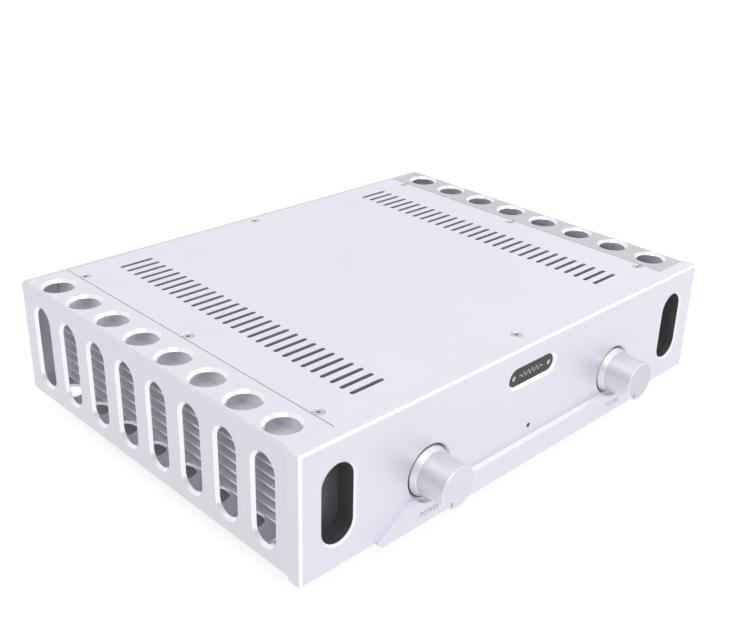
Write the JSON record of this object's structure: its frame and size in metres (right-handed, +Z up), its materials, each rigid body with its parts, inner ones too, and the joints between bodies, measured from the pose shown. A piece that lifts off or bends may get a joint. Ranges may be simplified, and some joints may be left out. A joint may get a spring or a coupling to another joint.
{
  "type": "integrated amplifier",
  "caption": "Stereo integrated amplifier in a satin aluminium case with ventilated finned sides, a rotary power switch, a volume knob and rear phono, speaker and mains sockets",
  "frame": {"origin": "on the floor, below the middle of the overall length and width, knobs and binding posts included", "axes": "+X to the right seen from the front, +Y to the back, +Z up"},
  "size_m": [0.43, 0.377, 0.106],
  "materials": {
    "case": "fine bead-blasted clear anodised",
    "sink": "as-extruded clear anodised",
    "knob": "turned and satin anodised",
    "screw": "machined, satin",
    "dark_screw": "black oxide",
    "nickel": "nickel plated",
    "gold": "gold plated, polished",
    "black": "matte black anodised look",
    "plastic": "moulded, fine texture",
    "white_plastic": "moulded",
    "red_plastic": "moulded",
    "red_cap": "translucent moulded",
    "black_cap": "moulded",
    "rubber": "matte",
    "ink": "inlaid enamel",
    "lamp": "smoked lens, unlit",
    "fuse_glass": "clear tube",
    "winding": "tape-wrapped copper winding on a steel core",
    "board": "solder resist",
    "sleeve": "shrink sleeve"
  },
  "bodies": {
    "amplifier_case": {"front_panel": "case", "left_side_shell": "case", "right_side_shell": "case", "top_lid": "case", "left_heatsink": "sink", "right_heatsink": "sink", "lid_screws": "screw", "left_rails": "case", "right_rails": "case", "end_brackets": "case", "bottom_plate": "case", "bottom_screws": "dark_screw", "feet": "case", "foot_pads": "rubber", "foot_screws": "dark_screw", "window_insert_left": "black", "window_insert_right": "black", "nameplate": "black", "nameplate_screws": "screw", "power_led": "lamp", "power_switch": "plastic", "volume_control": "plastic", "control_nuts": "screw", "rear_panel": "case", "rear_screws": "dark_screw", "rca_sockets": "gold", "rca_cores_white": "white_plastic", "rca_cores_red": "red_plastic", "post_studs": "gold", "post_collars": "plastic", "iec_inlet": "plastic", "iec_pins": "nickel", "transformer": "winding", "transformer_plate": "nickel", "transformer_bolt": "nickel", "supply_board": "board", "input_board": "board", "amp_boards": "board", "board_standoffs": "gold", "filter_capacitors": "sleeve", "output_transistors": "plastic"},
    "power_control": {"power_knob": "knob", "power_knob_mark": "ink", "power_knob_grub": "dark_screw", "power_shaft": "screw"},
    "volume_spindle": {"volume_knob": "knob", "volume_knob_mark": "ink", "volume_knob_grub": "dark_screw", "volume_shaft": "screw"},
    "fuse_tray": {"fuse_drawer": "plastic", "fuse": "fuse_glass"},
    "washer_1": {"post_washer_1": "gold"},
    "cap_1": {"post_cap_1": "red_cap"},
    "washer_2": {"post_washer_2": "gold"},
    "cap_2": {"post_cap_2": "black_cap"},
    "washer_3": {"post_washer_3": "gold"},
    "cap_3": {"post_cap_3": "red_cap"},
    "washer_4": {"post_washer_4": "gold"},
    "cap_4": {"post_cap_4": "black_cap"}
  },
  "joints": [
    {"name": "power_turn", "type": "hinge", "parent": "amplifier_case", "child": "power_control", "pos_m": [-0.1045, -0.1625, 0.0467], "axis": [0, 1, 0], "range_deg": [0, 60]},
    {"name": "volume_turn", "type": "hinge", "parent": "amplifier_case", "child": "volume_spindle", "pos_m": [0.1045, -0.1625, 0.0467], "axis": [0, 1, 0], "range_deg": [0, 300]},
    {"name": "fuse_slide", "type": "slide", "parent": "amplifier_case", "child": "fuse_tray", "axis": [0, 1, 0], "range_m": [0, 0.018]},
    {"name": "washer_1_slide", "type": "slide", "parent": "amplifier_case", "child": "washer_1", "axis": [0, 1, 0], "range_m": [0, 0.006]},
    {"name": "cap_1_turn", "type": "hinge", "parent": "washer_1", "child": "cap_1", "pos_m": [-0.088, 0.1795, 0.058], "axis": [0, 1, 0], "range_deg": [0, 2160]},
    {"name": "washer_2_slide", "type": "slide", "parent": "amplifier_case", "child": "washer_2", "axis": [0, 1, 0], "range_m": [0, 0.006]},
    {"name": "cap_2_turn", "type": "hinge", "parent": "washer_2", "child": "cap_2", "pos_m": [-0.063, 0.1795, 0.058], "axis": [0, 1, 0], "range_deg": [0, 2160]},
    {"name": "washer_3_slide", "type": "slide", "parent": "amplifier_case", "child": "washer_3", "axis": [0, 1, 0], "range_m": [0, 0.006]},
    {"name": "cap_3_turn", "type": "hinge", "parent": "washer_3", "child": "cap_3", "pos_m": [-0.018, 0.1795, 0.058], "axis": [0, 1, 0], "range_deg": [0, 2160]},
    {"name": "washer_4_slide", "type": "slide", "parent": "amplifier_case", "child": "washer_4", "axis": [0, 1, 0], "range_m": [0, 0.006]},
    {"name": "cap_4_turn", "type": "hinge", "parent": "washer_4", "child": "cap_4", "pos_m": [0.007, 0.1795, 0.058], "axis": [0, 1, 0], "range_deg": [0, 2160]}
  ],
  "couplings": [
    {"joint": "cap_1_turn", "follows": "washer_1_slide", "rad_per_m": 6276.9},
    {"joint": "cap_2_turn", "follows": "washer_2_slide", "rad_per_m": 6276.9},
    {"joint": "cap_3_turn", "follows": "washer_3_slide", "rad_per_m": 6276.9},
    {"joint": "cap_4_turn", "follows": "washer_4_slide", "rad_per_m": 6276.9}
  ]
}
